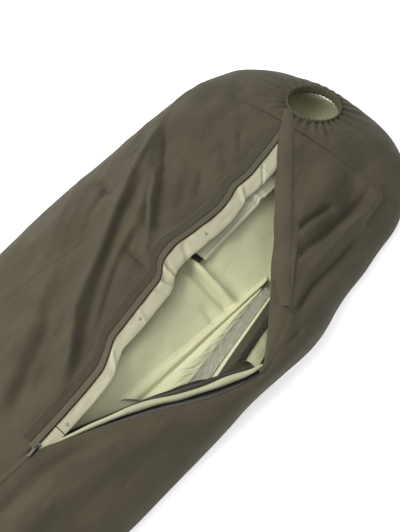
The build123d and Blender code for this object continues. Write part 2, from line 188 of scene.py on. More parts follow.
LEFT_FOLDS = in_metres((
    (((-360, -110), (-280, -80), (-180, -16), (-77, 61), (10, 100), (105, 136), (230, 196), (370, 262), (460, 296),
      (579, 340), (720, 390)), 23, 48, 11, 1.4),
    (((-300, -95), (-240, -78), (-144, -14), (-36, 48), (62, 98), (166, 149), (276, 198), (399, 238),
      (530, 280)), -14, 10, 28, 1.5),
    (((-500, -20), (-320, 58), (-210, 110), (-100, 170), (30, 235)), 15, 60, 28, 1.6),
    (((-420, -20), (-300, 30), (-200, 75), (-110, 125)), -9, 16, 30, 1.6),
    (((330, 330), (270, 290), (190, 262), (120, 230)), -6, 12, 10, 1.4),
    (((-135, -41), (-42, 17), (47, 62), (144, 105), (237, 130), (309, 162), (408, 234), (501, 296),
      (600, 345)), 14, 24, 18, 1.5),
    (((240, 60), (276, 86), (387, 162), (476, 226), (564, 298), (630, 350)), -19, 12, 30, 1.5),
    (((236, 88), (286, 128), (362, 191)), -9, 10, 6, 1.3),
    (((170, 30), (189, 45), (242, 81), (337, 156), (393, 189), (448, 245)), 12, 9, 12, 1.4),
    (((150, -20), (148, 11), (153, 36), (157, 63), (160, 90)), -20, 13, 7, 1.3),
    (((-240, -121), (-151, -55), (-77, -16), (22, 39), (110, 81), (181, 96), (247, 104)), -16, 13, 20, 1.4),
    (((554, 43), (607, 93), (663, 138)), -7, 16, 22, 1.8),
    (((640, 60), (668, 80), (725, 122)), -6, 7, 10, 1.5),
    (((430, 55), (468, 78), (536, 122)), -9, 12, 18, 1.6),
    (((350, 55), (382, 77), (460, 122), (563, 192)), -10, 22, 30, 1.8),
    (((-330, -30), (-292, -10), (-213, 33), (-100, 80)), -9, 18, 16, 1.6),
    (((-172, 60), (-152, 55), (-116, 34), (-90, 15)), -6, 8, 8, 1.5),
    (((-172, 254), (-20, 226), (142, 202)), -3, 4, 5, 1.2),
    (((318, 350), (300, 300), (278, 258)), -16, 14, 22, 1.4),
    (((-950, -20), (-600, 100), (-300, 260)), 14, 30, 50, 1.8),
    (((-800, 120), (-450, 200), (-100, 330)), -14, 30, 50, 1.8),
))
RIGHT_FOLDS = in_metres((
    (((515, -228), (550, -237), (608, -247), (652, -257), (690, -272)), -19, 7, 13, 1.3),
    (((530, -252), (548, -257), (607, -270), (685, -288)), 8, 10, 18, 1.5),
    (((400, -300), (466, -290), (533, -302), (597, -317), (655, -321), (770, -328), (870, -300)), -27, 28, 11, 1.4),
    (((400, -345), (549, -348), (646, -345), (726, -351), (814, -346), (890, -326)), 21, 13, 18, 1.4),
    (((690, -375), (729, -370), (800, -362), (865, -345)), -10, 10, 16, 1.4),
    (((270, -405), (299, -395), (426, -382), (565, -385), (700, -380)), -19, 10, 18, 1.4),
    (((164, -406), (223, -430), (300, -440)), -12, 9, 12, 1.4),
    (((680, -305), (781, -285), (860, -215)), -11, 35, 40, 1.8),
    (((680, -245), (761, -178), (840, -120)), 7, 35, 40, 1.8),
    (((785, -68), (850, -98), (900, -128), (955, -163), (1010, -215)), -4.5, 4, 6, 1.3),
    (((832, -40), (850, -75)), -10, 9, 10, 1.4),
    (((872, -95), (902, -118)), -9, 9, 9, 1.4),
    (((-900, -200), (-500, -260), (-100, -360)), 14, 40, 30, 1.8),
    (((-700, -160), (-300, -220)), -10, 30, 30, 1.8),
))


@lru_cache(maxsize=None)
def fold_box(points):
    """The least and greatest x and y of a fold's line."""
    across, up = zip(*points)
    return min(across), max(across), min(up), max(up)


def fold_height(x, y, points, height, wide_left, wide_right, sharp):
    """Height of one fold at a point of the plan."""
    reach = 3.0 * max(wide_left, wide_right)
    low_x, high_x, low_y, high_y = fold_box(points)
    if not (low_x - reach < x < high_x + reach and low_y - reach < y < high_y + reach):
        return 0.0
    nearest, found = 1e9, None
    runs = list(zip(points, points[1:]))
    for number, ((x0, y0), (x1, y1)) in enumerate(runs):
        dx, dy = x1 - x0, y1 - y0
        inside = within(((x - x0) * dx + (y - y0) * dy) / (dx * dx + dy * dy))
        ax, ay = x - x0 - dx * inside, y - y0 - dy * inside
        distance = math.hypot(ax, ay)
        if distance < nearest:
            side = dx * ay - dy * ax
            share = (number + inside) / len(runs)
            wide = wide_left if side > 0 else wide_right
            nearest, found = distance, (distance / wide, share)
    offset, share = found
    if offset > 4:
        return 0.0
    return height * math.exp(-offset ** sharp) * smooth(share / 0.25 + 0.1) * smooth((1 - share) / 0.25 + 0.1)


def drape(x, y, slant, seed, across_scale=8.5):
    """Long soft folds that run one way over the cloth, with crests sharper than their hollows."""
    along = x * math.cos(slant) + y * math.sin(slant)
    across = y * math.cos(slant) - x * math.sin(slant)
    across += 0.035 * noise_at(along * 3.1, across * 3.1, seed)
    wide = noise_at(along * 1.9, across * across_scale, seed + 2)
    close = noise_at(along * 4.2, across * across_scale * 2.3, seed + 5)
    return 0.5 - abs(wide) * 2.0 + 0.3 * (0.5 - abs(close) * 2.0)


def relief(x, y, folds, slant, seed):
    """Folds and soft unevenness of the cloth at a point of the plan."""
    total = sum(fold_height(x, y, *one) for one in folds)
    broad = noise_at(x * 5.0 + seed, y * 7.0, seed)
    fine = noise_at(x * 14.0, y * 17.0 + seed, seed * 2)
    return total + 0.006 * broad + 0.002 * fine + 0.0055 * drape(x, y, slant, seed)


# ---- pieces


def made(name, shaped):
    """Turns a bmesh into a piece of that name."""
    for face in shaped.faces:
        face.smooth = True
    mesh = bpy.data.meshes.new(name)
    shaped.to_mesh(mesh)
    shaped.free()
    piece = bpy.data.objects.new(name, mesh)
    bpy.context.scene.collection.objects.link(piece)
    return piece


def cloth_grid(name, rows, columns, place, size):
    """A sheet of cloth: a grid whose points place(u, v) puts in the sack, with a UV map in metres of cloth."""
    shaped = bmesh.new()
    bmesh.ops.create_grid(shaped, x_segments=rows, y_segments=columns, size=0.5, calc_uvs=True)
    cut = shaped.loops.layers.uv.active or shaped.loops.layers.uv.new("cut")
    for vertex in shaped.verts:
        u, v = vertex.co.x + 0.5, vertex.co.y + 0.5
        for loop in vertex.link_loops:
            loop[cut].uv = (u * size[0], v * size[1])
        vertex.co = place(u, v)
    return made(name, shaped)


def give(piece, body, nodes=(), materials=()):
    """Hangs a finished piece on its body, with its finish and the CAD nodes that it stands for."""
    for material in materials:
        piece.data.materials.append(material)
    if nodes:
        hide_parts(*nodes)
    if body:
        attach(piece, body)
    return piece


def thickened(piece, thickness, inside=0, offset=-1.0):
    """Gives a sheet its thickness; inside=1 puts the second material on its inner face."""
    wall = piece.modifiers.new("thickness", "SOLIDIFY")
    wall.thickness = thickness
    wall.offset = offset
    wall.material_offset = inside
    wall.use_quality_normals = True


def sew(name, rows, columns, place, size, thickness, nodes, materials, body="sack", offset=-1.0):
    """Makes a sheet of cloth with its thickness and finish: one material, or an outer and an inner one."""
    piece = cloth_grid(name, rows, columns, place, size)
    thickened(piece, thickness, len(materials) - 1, offset)
    return give(piece, body, nodes, materials)


def close_ring(piece, face_up=False):
    """Joins the two ends of a grid that runs all the way round."""
    ring = bmesh.new()
    ring.from_mesh(piece.data)
    bmesh.ops.remove_doubles(ring, verts=ring.verts, dist=1e-5)
    bmesh.ops.recalc_face_normals(ring, faces=ring.faces)
    if face_up and sum(face.normal.z for face in ring.faces) < 0:
        bmesh.ops.reverse_faces(ring, faces=ring.faces)
    ring.to_mesh(piece.data)
    ring.free()


def lathe(name, outline, closed, steps, tilt, axis, centre):
    """A small part turned from an outline of (radius, height) points, tilted about an axis and set at its centre."""
    part = bmesh.new()
    corners = [part.verts.new((across, 0, up)) for across, up in outline]
    runs = [part.edges.new(pair) for pair in zip(corners, corners[1:] + (corners[:1] if closed else []))]
    bmesh.ops.spin(
        part, geom=corners + runs, cent=(0, 0, 0), axis=(0, 0, 1), angle=2 * math.pi, steps=steps,
        use_merge=True, use_duplicate=False)
    bmesh.ops.remove_doubles(part, verts=part.verts, dist=1e-6)
    bmesh.ops.recalc_face_normals(part, faces=part.faces)
    bmesh.ops.rotate(part, verts=part.verts, cent=(0, 0, 0), matrix=Matrix.Rotation(tilt, 3, axis))
    bmesh.ops.translate(part, verts=part.verts, vec=centre)
    return made(name, part)


def lifted(place, height, step=1e-3):
    """The same surface, each point moved along its normal by height(point)."""
    def moved(u, v):
        point = place(u, v)
        along = place(min(1, u + step), v) - place(max(0, u - step), v)
        across = place(u, min(1, v + step)) - place(u, max(0, v - step))
        normal = along.cross(across)
        if normal.length < 1e-12:
            return point
        return point + normal.normalized() * height(point)
    return moved


# ---- materials


def add(tree, kind, values=None, **settings):
    """A new node with its settings, then its inputs: numbers, colours or other nodes' sockets."""
    node = tree.nodes.new("ShaderNode" + kind)
    for setting, value in settings.items():
        setattr(node, setting, value)
    feed(tree, node, values or {})
    return node


def feed(tree, node, values):
    for socket, value in values.items():
        if isinstance(value, bpy.types.NodeSocket):
            tree.links.new(value, node.inputs[socket])
        else:
            node.inputs[socket].default_value = value


def group(name, inputs, outputs, build):
    """A shader node group with float sockets, built once."""
    tree = bpy.data.node_groups.new(name, "ShaderNodeTree")
    for label, value in inputs.items():
        tree.interface.new_socket(label, in_out="INPUT", socket_type="NodeSocketFloat").default_value = value
    for label in outputs:
        tree.interface.new_socket(label, in_out="OUTPUT", socket_type="NodeSocketFloat")
    start, end = tree.nodes.new("NodeGroupInput"), tree.nodes.new("NodeGroupOutput")
    feed(tree, end, build(tree, start.outputs))
    return tree


def maths(tree, kind, *values):
    return add(tree, "Math", dict(enumerate(values)), operation=kind).outputs[0]


def map_range(tree, value, low, high, to_low=0.0, to_high=1.0):
    return add(tree, "MapRange", {
        "Value": value, "From Min": low, "From Max": high, "To Min": to_low, "To Max": to_high}).outputs["Result"]


def object_place(tree):
    return add(tree, "TexCoord").outputs["Object"]


def build_weave(tree, given):
    """Plain weave: two crossing sets of ribs, in metres of the object."""
    scaled = add(tree, "VectorMath", {0: object_place(tree), "Scale": given["Threads per metre"]}, operation="SCALE")
    waves = [
        add(tree, "TexWave", {"Scale": 0.5, "Distortion": 0.4, "Vector": scaled.outputs[0]}, bands_direction=direction)
        for direction in ("X", "Y")]
    return {"Height": maths(tree, "MAXIMUM", *(wave.outputs["Fac"] for wave in waves))}


def build_creases(tree, given):
    """Small soft creases of handled cloth: stretched noise with ridges, and a slow change of tone."""
    turned = add(tree, "Mapping", {
        "Rotation": (0, 0, math.radians(38)), "Scale": (1.0, 2.4, 1.6), "Vector": object_place(tree)}).outputs[0]
    warp = add(tree, "TexNoise", {"Scale": 6, "Detail": 2, "Vector": turned})
    shifted = add(tree, "VectorMath", {
        0: warp.outputs["Color"], 1: (0.12, 0.12, 0.12), 2: turned}, operation="MULTIPLY_ADD")
    ridges = add(tree, "TexNoise", {
        "Detail": 3, "Roughness": 0.45, "Vector": shifted.outputs[0], "Scale": given["Scale"]})
    sharp = maths(tree, "ABSOLUTE", maths(tree, "SUBTRACT", ridges.outputs["Fac"], 0.5))
    return {"Height": maths(tree, "MULTIPLY", sharp, 2.0), "Tone": map_range(tree, warp.outputs["Fac"], 0.35, 0.65)}


def build_stitches(tree, given):
    """Two rows of lockstitch at set places across a strip, from its UV map in metres."""
    parts = add(tree, "SeparateXYZ", {0: add(tree, "UVMap").outputs["UV"]}).outputs
    rows = []
    for row in ("First row", "Second row"):
        away = maths(tree, "ABSOLUTE", maths(tree, "SUBTRACT", parts["Y"], given[row]))
        rows.append(map_range(tree, away, 0.0006, 0.0014, 1.0, 0.0))
    dash = maths(tree, "FRACT", maths(tree, "MULTIPLY", parts["X"], given["Per metre"]))
    thread = map_range(tree, maths(tree, "ABSOLUTE", maths(tree, "SUBTRACT", dash, 0.5)), 0.3, 0.42, 1.0, 0.25)
    row_mask = maths(tree, "MAXIMUM", *rows)
    return {"Mask": maths(tree, "MULTIPLY", row_mask, thread), "Pucker": row_mask}


WEAVE = group("cloth_weave", {"Threads per metre": 900.0}, ["Height"], build_weave)
CREASES = group("handled_creases", {"Scale": 7.0}, ["Height", "Tone"], build_creases)
STITCHES = group(
    "stitch_rows", {"First row": 0.0, "Second row": 0.0, "Per metre": 300.0}, ["Mask", "Pucker"], build_stitches)


def colour_mix(tree, first, second, share):
    """Mixes two colours, each a tuple or a socket, by a mask."""
    first, second = ((*colour, 1) if isinstance(colour, tuple) else colour for colour in (first, second))
    return add(tree, "Mix", {6: first, 7: second, 0: share}, data_type="RGBA").outputs[2]


def raised(tree, height, distance, strength, below=None):
    """A Bump node, on top of another one's normal."""
    values = {"Distance": distance, "Strength": strength, "Height": height}
    if below is not None:
        values["Normal"] = below
    return add(tree, "Bump", values).outputs["Normal"]


def material_of(name, build, values):
    """A material with its shader's even values set, and the sockets that build(tree) returns joined to it."""
    material = bpy.data.materials.new(name)
    material.use_nodes = True
    tree = material.node_tree
    feed(tree, tree.nodes["Principled BSDF"], values | build(tree))
    return material


def cloth(name, light, dark, rough=0.75, sheen=0.05, threads=900.0, weave=0.25, crease=(7.0, 0.004, 0.5), rows=None,
          thread_colour=None):
    """Cloth: tone that drifts between two colours, a weave, soft creases and perhaps stitching."""
    def build(tree):
        creases = add(tree, "Group", {"Scale": crease[0]}, node_tree=CREASES).outputs
        weaving = add(tree, "Group", {"Threads per metre": threads}, node_tree=WEAVE).outputs
        colour = colour_mix(tree, dark, light, creases["Tone"])
        normal = raised(tree, creases["Height"], crease[1], crease[2])
        normal = raised(tree, weaving["Height"], 0.0003, weave, normal)
        if rows:
            stitches = add(tree, "Group", {"First row": rows[0], "Second row": rows[1]}, node_tree=STITCHES).outputs
            colour = colour_mix(tree, colour, thread_colour, stitches["Mask"])
            normal = raised(tree, stitches["Pucker"], 0.0012, -0.9, normal)
        return {"Base Color": colour, "Normal": normal}
    return material_of(name, build, {
        "Roughness": rough, "Specular IOR Level": 0.25, "Sheen Weight": sheen, "Sheen Roughness": 0.5})


OLIVE = ((0.069, 0.059, 0.0357), (0.054, 0.046, 0.0277))
STORM = ((0.079, 0.068, 0.0425), (0.065, 0.056, 0.0345))
PALE = ((0.575, 0.575, 0.372), (0.52, 0.52, 0.328))
olive_cloth = cloth("olive_laminate", *OLIVE, crease=(8.0, 0.006, 0.6))
lining_cloth = cloth("pale_lining", *PALE, rough=0.6, threads=1400.0, weave=0.1)
# A darker copy of the pale lining, for the roll: painted shade for the roll's shaded side.
shaded_lining = cloth(
    "pale_lining_roll_painted_shade", (0.45, 0.448, 0.29), (0.385, 0.383, 0.245), rough=0.6, threads=1400.0, weave=0.1)
flap_cloth = cloth(
    "cream_flap_cloth", (0.47, 0.455, 0.32), (0.41, 0.396, 0.275), rough=0.7,
    rows=(0.0035, 0.0035), thread_colour=(0.36, 0.34, 0.23))
pocket_cloth = cloth(
    "cream_pocket_cloth", (0.52, 0.506, 0.358), (0.462, 0.448, 0.316), rough=0.7,
    rows=(0.0025, 0.0115), thread_colour=(0.2, 0.19, 0.12))
storm_cloth = cloth(
    "olive_storm_flap", *STORM, rows=(0.0475, 0.0475), thread_colour=(0.062, 0.054, 0.036), crease=(9.0, 0.002, 0.4))
binding_cloth = cloth("olive_binding", *STORM)
edge_cloth = cloth("olive_zip_edge", (0.098, 0.085, 0.056), (0.082, 0.071, 0.046))
facing_cloth = cloth(
    "olive_facing", (0.06, 0.053, 0.032), (0.048, 0.042, 0.026),
    rows=(0.056, 0.056), thread_colour=(0.05, 0.045, 0.03))
tape_cloth = cloth(
    "zip_tape", (0.086, 0.075, 0.05), (0.07, 0.061, 0.041), threads=700.0, weave=0.5,
    rows=(0.006, 0.012), thread_colour=(0.15, 0.13, 0.095), crease=(12.0, 0.001, 0.3))
webbing_cloth = cloth(
    "olive_webbing", (0.09, 0.08, 0.055), (0.075, 0.066, 0.045), threads=420.0, weave=0.9, crease=(12.0, 0.001, 0.2))
label_weave = cloth(
    "black_label", (0.014, 0.014, 0.013), (0.01, 0.01, 0.01), threads=1600.0, weave=0.5,
    rows=(0.0015, 0.0225), thread_colour=(0.05, 0.05, 0.045), crease=(12.0, 0.0005, 0.2))


def pile(name, light, dark, grain):
    """Loop or hook tape: a rough nap in rows."""
    def build(tree):
        place = object_place(tree)
        nap = add(tree, "TexNoise", {"Scale": grain, "Detail": 4, "Roughness": 0.7, "Vector": place}).outputs["Fac"]
        patches = add(tree, "TexNoise", {"Scale": grain / 6, "Vector": place}).outputs["Fac"]
        both = maths(tree, "MULTIPLY", map_range(tree, nap, 0.3, 0.7), map_range(tree, patches, 0.3, 0.6, 0.5, 1.0))
        return {"Base Color": colour_mix(tree, dark, light, both), "Normal": raised(tree, nap, 0.0015, 0.9)}
    return material_of(name, build, {"Roughness": 0.95, "Specular IOR Level": 0.1, "Sheen Weight": 0.25})


loop_pile = pile("loop_pile", (0.072, 0.062, 0.038), (0.042, 0.036, 0.022), 700.0)
hook_pile = pile("hook_pile", (0.045, 0.04, 0.03), (0.022, 0.019, 0.014), 900.0)


def film(name, light, dark, rough):
    """Sealing tape: a thin grey film whose pressed edges and bubbles catch the light, painted into its base colour as
    highlights.
    """
    def build(tree):
        height = add(tree, "Group", {"Scale": 26.0}, node_tree=CREASES).outputs["Height"]
        # Base colour lighter where the creases stand high: painted highlight.
        return {
            "Base Color": colour_mix(tree, dark, light, height), "Normal": raised(tree, height, 0.005, 0.9),
            "Roughness": map_range(tree, height, 0.0, 0.6, rough - 0.1, rough + 0.15)}
    return material_of(name, build, {"Coat Weight": 0.15, "Coat Roughness": 0.3})


seal_film = film("seam_seal_film", (0.385, 0.366, 0.272), (0.24, 0.229, 0.17), 0.5)


def hard(name, light, dark, metallic, rough):
    """Metal or moulded plastic with fine brushing and rubbed tone."""
    def build(tree):
        turned = add(tree, "Mapping", {"Scale": (1.0, 1.0, 14.0), "Vector": object_place(tree)}).outputs[0]
        grain = add(tree, "TexNoise", {"Scale": 260.0, "Detail": 3, "Vector": turned}).outputs["Fac"]
        return {
            "Base Color": colour_mix(tree, dark, light, grain), "Normal": raised(tree, grain, 0.0002, 0.3),
            "Roughness": map_range(tree, grain, 0.3, 0.7, rough - 0.08, rough + 0.12)}
    return material_of(name, build, {"Metallic": metallic})


stud_metal = hard("stud_grey", (0.36, 0.35, 0.32), (0.24, 0.23, 0.21), 0.6, 0.45)
slider_metal = hard("slider_gunmetal", (0.12, 0.115, 0.1), (0.07, 0.068, 0.06), 0.9, 0.38)
coil_nylon = hard("coil_nylon", (0.135, 0.118, 0.08), (0.1, 0.087, 0.058), 0.0, 0.5)


# ---- outer cloth


def arch_height(share, crest):
    """Height of the cloth where it is that share of the way from crest to floor seam on the plan."""
    return crest * math.cos(math.asin(within(share) ** (1 / ARCH_OUT))) ** ARCH_UP


def seam_pull(x):
    """The hood's seam holds the cloth flatter than it lies on either side."""
    return 1 - 0.8 * bump(x, HOOD_SEAM, 0.022)


def under_hood(x):
    """How far the top panels dip where their ends lie under the hood's."""
    return 0.0012 * smooth((x - HOOD_SEAM + 0.006) / 0.005)


def top_surface(left, u, turn):
    """Point of one top panel: turn runs from 0 at the mouth's edge to a quarter circle at the floor seam."""
    x = mix(FOOT_END, HOOD_SEAM + 0.007, u)
    edge = zip_point(x) if left else lip_point(x)
    start = edge.y + (0.007 * smooth((x + 0.5) / 0.06) if left else 0)
    y = mix(start, half_width(x) if left else -right_half_width(x), math.sin(turn) ** ARCH_OUT)
    if not left:
        y -= 0.012 * math.sin(2 * turn) * bump(x, 0.15, 0.3)
    z = (edge.z + SKIN) * math.cos(turn) ** ARCH_UP - under_hood(x)
    return Vector((x, y, max(z, 0.003)))


def kept_ends(x, head_end):
    """Where the folds die away: at the foot, at the hood's tip and along the hood's seam."""
    return smooth((x + 1.12) / 0.15) * smooth((head_end - x) / 0.12) * seam_pull(x)


def left_relief(point):
    edge_share = smooth((point.y - zip_point(point.x).y - 0.02) / 0.08)
    seam_share = smooth((half_width(point.x) - point.y + 0.02) / 0.06)
    return relief(point.x, point.y, LEFT_FOLDS, 0.47, 3.1) * edge_share * seam_share * kept_ends(point.x, 0.98)


def right_relief(point):
    edge_share = smooth((lip_point(point.x).y - point.y - 0.012) / 0.05)
    seam_share = smooth((point.y + right_half_width(point.x) + 0.02) / 0.06)
    return relief(point.x, point.y, RIGHT_FOLDS, -0.09, 7.7) * edge_share * seam_share * kept_ends(point.x, 1.0)


OUTER = [olive_cloth, lining_cloth]
sew("top_left", 380, 110, lifted(lambda u, v: top_surface(True, u, v * math.pi / 2), left_relief), (1.96, 0.5),
    CLOTH, ["top_left_panel"], OUTER)
sew("top_right", 380, 90, lifted(lambda u, v: top_surface(False, u, (1 - v) * math.pi / 2), right_relief), (1.96, 0.4),
    CLOTH, ["top_right_panel"], OUTER)

# ---- hood, with its gathered face opening
HOOD_START = 0.828
FACE = Vector((0.965, 0.008, 0.134))
FACE_RADIUS = 0.088
FACE_TILT = 0.21


def hood_height(x, y):
    crest = 0.152 * (1 - within((x - HOOD_SEAM) / 0.293) ** 2.5) ** 0.5
    half = half_width(min(x, HEAD_END))
    share = abs(y - FACE.y) / (half - math.copysign(FACE.y, y))
    return max(0.003, arch_height(share, crest))


@lru_cache(maxsize=None)
def hood_reach(angle):
    """Distance on the plan from the middle of the face opening to the hood's outline."""
    low, high = 0.05, 0.7
    for halving in range(18):
        middle = (low + high) / 2
        x, y = FACE.x + middle * math.cos(angle), FACE.y + middle * math.sin(angle)
        inside = HOOD_START < x < 1.1235 and abs(y) < half_width(x)
        low, high = (middle, high) if inside else (low, middle)
    return low


def hood_surface(u, v):
    angle = -2 * math.pi * u
    reach = mix(FACE_RADIUS, hood_reach(angle), v ** 1.2)
    x, y = FACE.x + reach * math.cos(angle), FACE.y + reach * math.sin(angle)
    near = math.exp(-(reach - FACE_RADIUS) / 0.05)
    ring = FACE.z - FACE_TILT * (x - FACE.x)
    gathers = near * 0.0045 * math.sin(26 * angle + 1.5 * math.sin(3 * angle))
    gathers *= smooth((x - HOOD_START) / 0.03)
    uneven = 0.005 * noise_at(x * 9, y * 9, 4.4) * smooth(v / 0.3) * smooth((1 - v) / 0.15)
    uneven *= smooth((x - HOOD_START) / 0.05)
    flat = Vector((x, y, 0.15))
    folds = (left_relief(flat) if y > 0.0 else right_relief(flat)) * (1 - near)
    return Vector((x, y, max(0.003, mix(hood_height(x, y), ring, near) + gathers + uneven + folds)))


hood = cloth_grid("hood", 300, 70, hood_surface, (1.3, 0.3))
close_ring(hood, face_up=True)
thickened(hood, CLOTH, 1)
give(hood, "sack", ["hood_panel"], OUTER)


def hem_surface(u, v):
    """A soft tube of cloth round the face opening, gathered along its channel."""
    angle, around = -2 * math.pi * u, -2 * math.pi * v
    crimp = 1 + 0.1 * math.sin(34 * angle + 2 * math.sin(2 * angle))
    out = 0.0035 * math.cos(around) * crimp
    up = 0.015 * math.sin(around) * crimp - 0.006
    radius = FACE_RADIUS + out
    x, y = FACE.x + radius * math.cos(angle), FACE.y + radius * math.sin(angle)
    return Vector((x + FACE_TILT * up, y, FACE.z - FACE_TILT * (x - FACE.x) + up))


hood_hem = cloth_grid("hood_hem_channel", 240, 14, hem_surface, (0.6, 0.05))
close_ring(hood_hem)
give(hood_hem, "sack", ["hood_hem"], [storm_cloth])

# ---- foot end and floor
FOOT_HALF = 0.26


def foot_height(y):
    """Height of the arch at the foot end."""
    middle = FOOT_CREST.y
    reach = FOOT_HALF - middle if y > middle else FOOT_HALF + middle
    return max(0.003, arch_height(abs(y - middle) / reach, FOOT_CREST.z + SKIN))


def foot_surface(u, v):
    """The D-shaped foot end, a little full."""
    y = mix(FOOT_HALF, -FOOT_HALF, u)
    full = 0.012 * math.sin(math.pi * min(1, v)) * math.cos(y / FOOT_HALF * math.pi / 2) ** 0.5
    crease = 0.002 * noise_at(y * 16, v * 3, 1.0)
    return Vector((FOOT_END - full + crease, y, mix(0.002, foot_height(y), v)))


sew("foot_end", 60, 14, foot_surface, (0.52, 0.11), CLOTH, ["foot_panel"], OUTER)

FLOOR_FOLDS = in_metres((
    (((262, -245), (262, -130), (264, -30), (264, 20)), 21, 13, 13, 1.9),
    (((288, -250), (285, -130), (287, -20)), -18, 8, 22, 1.5),
    (((240, -250), (239, -130), (243, -20)), -20, 12, 7, 1.5),
    (((170, -235), (178, -205), (189, -154)), -9, 8, 16, 1.4),
    (((400, -120), (580, -20)), -6, 20, 30, 1.8),
    (((100, -100), (20, -160), (-100, -170)), -5, 20, 30, 1.8),
))


def floor_height(x, y):
    """Height of the lining that lies raised in loose folds inside the mouth."""
    inner = smooth((half_width(x) - 0.001 - abs(y)) / 0.16) * smooth((x + 1.1) / 0.2) * smooth((1.08 - x) / 0.2)
    folds = sum(fold_height(x, y, *one) for one in FLOOR_FOLDS)
    middle = mix(-0.12, -0.045, smooth((x + 0.35) / 1.0))
    side = mix(0.08, 0.115, smooth((x + 0.1) / 0.35)) if y < middle else 0.2
    puffed = 0.022 + 0.072 * bump(y, middle, side) * smooth((x + 0.62) / 0.4) * smooth((0.95 - x) / 0.3)
    puffed += 0.008 * noise_at(x * 4.0, y * 5.0, 9.0) + 0.003 * noise_at(x * 15, y * 13, 2.0)
    return 0.0016 + max(0.0, puffed + folds) * inner


def floor_surface(u, v):
    x = mix(-1.125, HEAD_END, u)
    y = mix(0.001 - right_half_width(x), half_width(x) - 0.001, v)
    return Vector((x, y, floor_height(x, y)))


sew("floor", 320, 130, floor_surface, (2.25, 0.92), CLOTH, ["floor_panel"], [lining_cloth, olive_cloth])

# ---- zip edge of the left half


def over_left(x, away, gap):
    """A point of the left cloth that far outward from the zip's edge, raised by gap."""
    edge = zip_point(x)
    start = edge.y + 0.007
    y = edge.y + away
    share = max(0.0, y - start) / (half_width(x) - start)
    point = Vector((x, y, arch_height(share, edge.z + SKIN)))
    point.z += left_relief(point) + gap
    return point


def along_left(name, first, last, inner, outer, gap, columns, size, thickness, nodes, material, waver=0.0):
    """A strip of cloth or tape that runs along the zip's edge on the left half."""
    def place(u, v):
        x = mix(first, last, u)
        stray = waver * noise_at(x * 11, inner * 90, 5.0)
        return over_left(x, mix(inner, outer, v) + stray, gap)
    sew(name, 320, columns, place, size, thickness, nodes, [material])


along_left("zip_tape_left_cloth", -0.44, 0.822, 0.0016, 0.019, -0.0024, 6, (1.27, 0.018), 0.0006,
           ["zip_tape_left"], tape_cloth)
along_left("left_edge_fold", -0.437, 0.822, 0.0026, 0.0195, 0.0004, 8, (1.27, 0.017), 0.0009,
           (), edge_cloth)
along_left("loop_strip_pile", -0.43, 0.815, 0.0205, 0.0505, 0.001, 8, (1.26, 0.03), 0.0011,
           ["loop_strip"], loop_pile, 0.002)


def coil(name, line, last, node):
    """Half of a zip: nylon coil wound from a small round section, then laid along its line."""
    turns, steps, blocks = 10, 7, 56
    wound = bmesh.new()
    bmesh.ops.create_circle(wound, segments=5, radius=0.00045)
    bmesh.ops.rotate(wound, verts=wound.verts, cent=(0, 0, 0), matrix=Matrix.Rotation(math.pi / 2, 3, "X"))
    bmesh.ops.translate(wound, verts=wound.verts, vec=(0, 0, 0.0013))
    ring = wound.verts[:] + wound.edges[:]
    bmesh.ops.spin(
        wound, geom=ring, cent=(0, 0, 0), axis=(1, 0, 0), dvec=(1.0 / (turns * steps), 0, 0),
        angle=2 * math.pi * turns, steps=turns * steps, use_duplicate=False)
    block = wound.verts[:] + wound.edges[:] + wound.faces[:]
    for number in range(1, blocks):
        copied = bmesh.ops.duplicate(wound, geom=block)["geom"]
        points = [part for part in copied if isinstance(part, bmesh.types.BMVert)]
        bmesh.ops.translate(wound, verts=points, vec=(number, 0, 0))
    bmesh.ops.scale(wound, verts=wound.verts, vec=(1.0 / blocks, 1, 1))
    bmesh.ops.remove_doubles(wound, verts=wound.verts, dist=1e-6)
    for vertex in wound.verts:
        vertex.co = line(mix(-0.436, last, vertex.co.x)) + Vector((0, vertex.co.y * 1.35, vertex.co.z))
    bmesh.ops.recalc_face_normals(wound, faces=wound.faces)
    give(made(name, wound), "sack", [node], [coil_nylon])


coil("zip_coil_left", zip_point, 0.822, "zip_chain_left")

# ---- zip edge of the right half, under the storm flap


def over_right(x, away, gap):
    """A point of the right cloth that far outward from the lip, raised by gap."""
    edge = lip_point(x)
    y = edge.y - away
    share = (edge.y - y) / (edge.y + right_half_width(x))
    point = Vector((x, y, arch_height(share, edge.z + SKIN)))
    point.z += right_relief(point) + gap
    return point


def right_zip_line(x):
    return lip_point(x) + Vector((0, 0.004, -0.001 - 0.006 * smooth((0.2 - x) / 0.1)))


def right_tape_surface(u, v):
    x = mix(0.822, -0.437, u)
    return right_zip_line(x) + Vector((0, -mix(0.0016, 0.017, v), -0.0008))


sew("zip_tape_right_cloth", 260, 4, right_tape_surface, (1.3, 0.017), 0.0006, ["zip_tape_right"], [tape_cloth])
coil("zip_coil_right", right_zip_line, 0.82, "zip_chain_right")

# ---- storm flap
DOWN_LIP = (LIP_BEND - ZIP_HEAD).normalized()
OFF_LIP = Vector((-DOWN_LIP.y, DOWN_LIP.x, 0)).normalized()


def flap_height(along, out):
    """How far the storm flap's cloth stands above the lip: a low arch that dips to its free edge."""
    arch = 0.005 - 9.0 * (out + 0.006) ** 2 * (0.35 if out > -0.006 else 1.0)
    ripple = 0.002 * math.sin(along * 23 + 0.8) * smooth(-out / 0.05)
    return arch + ripple + 0.0012 * noise_at(along * 16, out * 30, 3.0)


def flap_free_edge(along):
    """How far inward of the lip the storm flap's free edge lies."""
    waver = 0.002 * math.sin(along * 19) + 0.0012 * math.sin(along * 47)
    return -0.0375 - 0.006 * smooth((along - 0.15) / 0.4) + waver


def flap_point(along, out):
    base = ZIP_HEAD + DOWN_LIP * along + OFF_LIP * out
    fall = max(0.0, out) ** 1.6 * 2.2
    return base + Vector((0, 0, SKIN + 0.0015 + flap_height(along, out) - fall))


def foot_sink(along):
    """How far the storm flap's foot end sinks towards the band it lies on."""
    return 0.0024 * smooth((along - 0.596) / 0.045)


